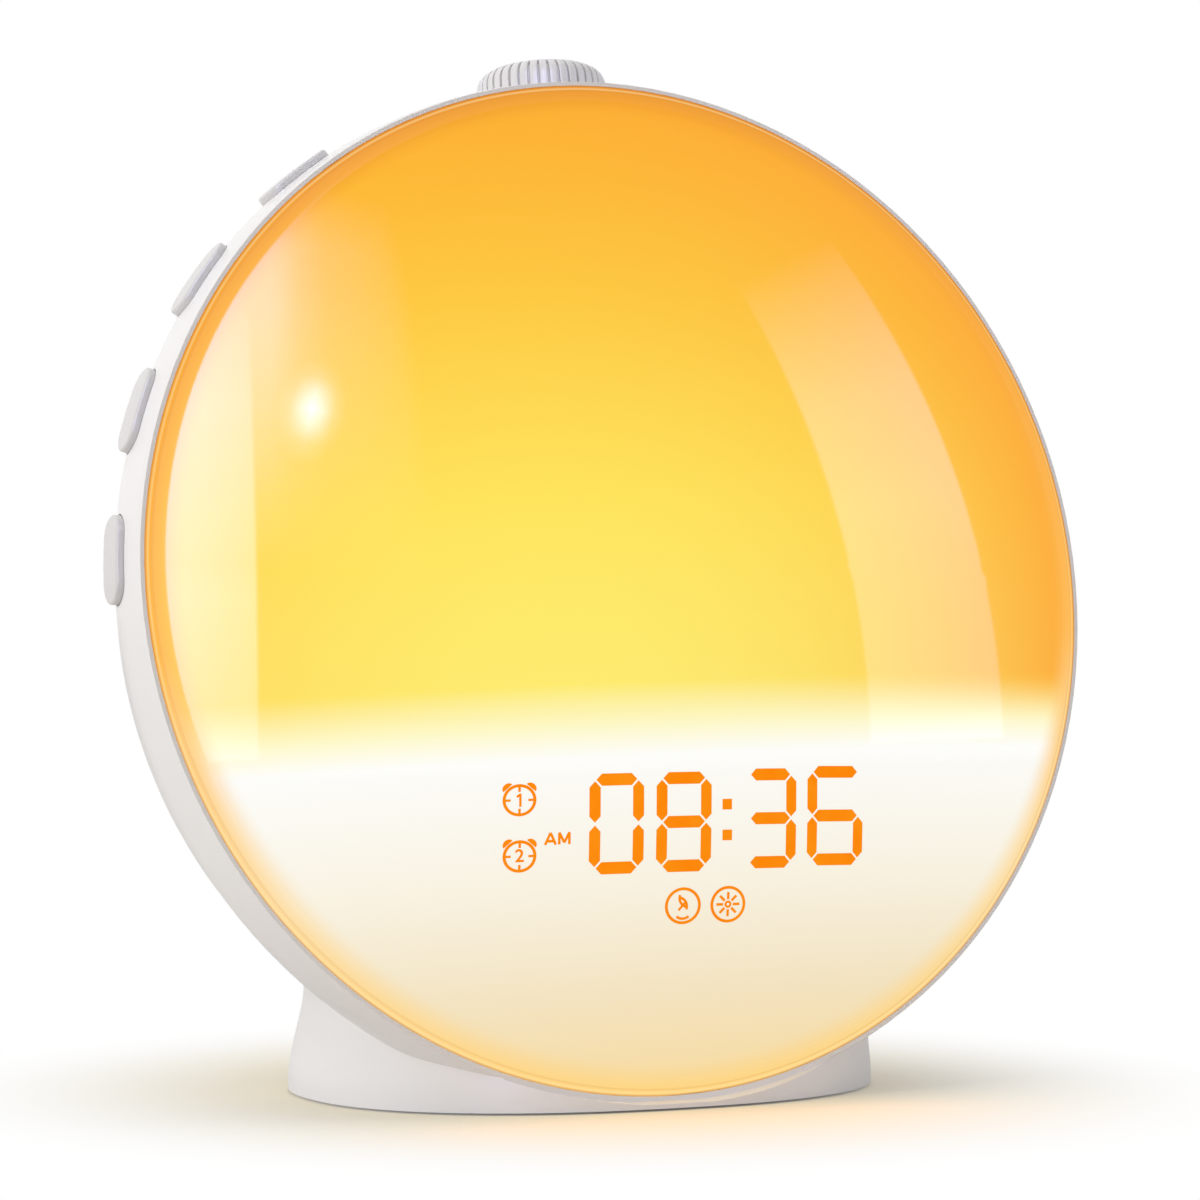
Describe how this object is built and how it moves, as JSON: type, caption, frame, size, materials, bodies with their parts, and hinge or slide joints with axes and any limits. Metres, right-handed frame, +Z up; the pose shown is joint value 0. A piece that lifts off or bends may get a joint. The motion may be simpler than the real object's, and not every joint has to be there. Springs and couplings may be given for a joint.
{
  "type": "sunrise alarm clock",
  "caption": "Round bedside clock with a domed glowing lens that leans back on an oval foot, a ribbed knob on top and press buttons round both sides.",
  "frame": {"origin": "middle of the foot pad's underside, on the surface the clock stands on", "axes": "+Z up, +Y towards the back of the clock, +X to the right as one looks at the face"},
  "size_m": [0.1862, 0.0829, 0.1865],
  "materials": {
    "housing_plastic": "fine moulded satin, warm white",
    "button_plastic": "satin, slightly greyer than the housing",
    "lens_acrylic": "polished opal acrylic, glowing from amber to white",
    "inner_white": "high-reflectance white",
    "light_guide": "clear orange",
    "circuit_board": "solder mask",
    "led_package": "phosphor yellow on white",
    "black_plastic": "moulded",
    "plated_metal": "bright plated",
    "screw_steel": "zinc plated",
    "rubber_grey": "matt moulded",
    "paper_cone": "pressed",
    "capacitor_can": "sleeved can",
    "ferrite": "pressed ferrite",
    "ballast_steel": "plain steel"
  },
  "bodies": {
    "clock_body": {"ballast_weight": "ballast_steel", "base_plate": "housing_plastic", "base_screws": "screw_steel", "battery_contact": "plated_metal", "battery_holder": "black_plastic", "board_standoffs": "inner_white", "capacitors": "capacitor_can", "coin_cell": "plated_metal", "cover_screws": "screw_steel", "dc_jack": "black_plastic", "dc_pin": "plated_metal", "display_light_guides": "light_guide", "display_shroud": "inner_white", "encoder_board": "circuit_board", "encoder_body": "black_plastic", "foot_pad": "rubber_grey", "front_diffuser": "lens_acrylic", "housing": "housing_plastic", "led_board": "inner_white", "led_emitters": "led_package", "left_button_board": "circuit_board", "left_switches": "black_plastic", "lens_seal": "rubber_grey", "light_tray": "inner_white", "main_board": "circuit_board", "main_chips": "black_plastic", "rear_cover": "housing_plastic", "right_button_board": "circuit_board", "right_switches": "black_plastic", "speaker_frame": "screw_steel", "speaker_gasket": "rubber_grey", "speaker_magnet": "ferrite", "speaker_screws": "screw_steel", "tray_screws": "screw_steel", "usb_shell": "plated_metal", "usb_tongue": "black_plastic"},
    "knob_plunger": {"snooze_plunger": "inner_white"},
    "knob": {"knob_cap": "housing_plastic", "knob_shaft": "plated_metal"},
    "speaker_diaphragm": {"speaker_cone": "paper_cone"},
    "battery_lid": {"battery_door": "housing_plastic"},
    "left_key_1": {"left_button_1": "button_plastic"},
    "left_key_2": {"left_button_2": "button_plastic"},
    "left_key_3": {"left_button_3": "button_plastic"},
    "left_key_4": {"left_button_4": "button_plastic"},
    "right_key_1": {"right_button_1": "button_plastic"},
    "right_key_2": {"right_button_2": "button_plastic"},
    "right_key_3": {"right_button_3": "button_plastic"},
    "right_key_4": {"right_button_4": "button_plastic"}
  },
  "joints": [
    {"name": "left_button_1_press", "type": "slide", "parent": "clock_body", "child": "left_key_1", "axis": [0.606, -0.1244, -0.7857], "range_m": [0, 0.0008], "stiffness_N_per_m": 400},
    {"name": "left_button_2_press", "type": "slide", "parent": "clock_body", "child": "left_key_2", "axis": [0.807, -0.0924, -0.5833], "range_m": [0, 0.0008], "stiffness_N_per_m": 400},
    {"name": "left_button_3_press", "type": "slide", "parent": "clock_body", "child": "left_key_3", "axis": [0.9415, -0.0527, -0.3329], "range_m": [0, 0.0008], "stiffness_N_per_m": 400},
    {"name": "left_button_4_press", "type": "slide", "parent": "clock_body", "child": "left_key_4", "axis": [0.9984, -0.0087, -0.0551], "range_m": [0, 0.0008], "stiffness_N_per_m": 400},
    {"name": "right_button_1_press", "type": "slide", "parent": "clock_body", "child": "right_key_1", "axis": [-0.606, -0.1244, -0.7857], "range_m": [0, 0.0008], "stiffness_N_per_m": 400},
    {"name": "right_button_2_press", "type": "slide", "parent": "clock_body", "child": "right_key_2", "axis": [-0.807, -0.0924, -0.5833], "range_m": [0, 0.0008], "stiffness_N_per_m": 400},
    {"name": "right_button_3_press", "type": "slide", "parent": "clock_body", "child": "right_key_3", "axis": [-0.9415, -0.0527, -0.3329], "range_m": [0, 0.0008], "stiffness_N_per_m": 400},
    {"name": "right_button_4_press", "type": "slide", "parent": "clock_body", "child": "right_key_4", "axis": [-0.9984, -0.0087, -0.0551], "range_m": [0, 0.0008], "stiffness_N_per_m": 400},
    {"name": "knob_press", "type": "slide", "parent": "clock_body", "child": "knob_plunger", "axis": [0, -0.1564, -0.9877], "range_m": [0, 0.0006], "stiffness_N_per_m": 1500},
    {"name": "knob_turn", "type": "hinge", "parent": "knob_plunger", "child": "knob", "pos_m": [0, 0.01795, 0.18082], "axis": [0, 0.1564, 0.9877], "continuous": true},
    {"name": "speaker_cone_travel", "type": "slide", "parent": "clock_body", "child": "speaker_diaphragm", "axis": [0, 0.9877, -0.1564], "range_m": [-0.0005, 0.0005], "stiffness_N_per_m": 1000},
    {"name": "battery_door_lift", "type": "slide", "parent": "clock_body", "child": "battery_lid", "axis": [0, 0.9877, -0.1564], "range_m": [0, 0.012]}
  ]
}
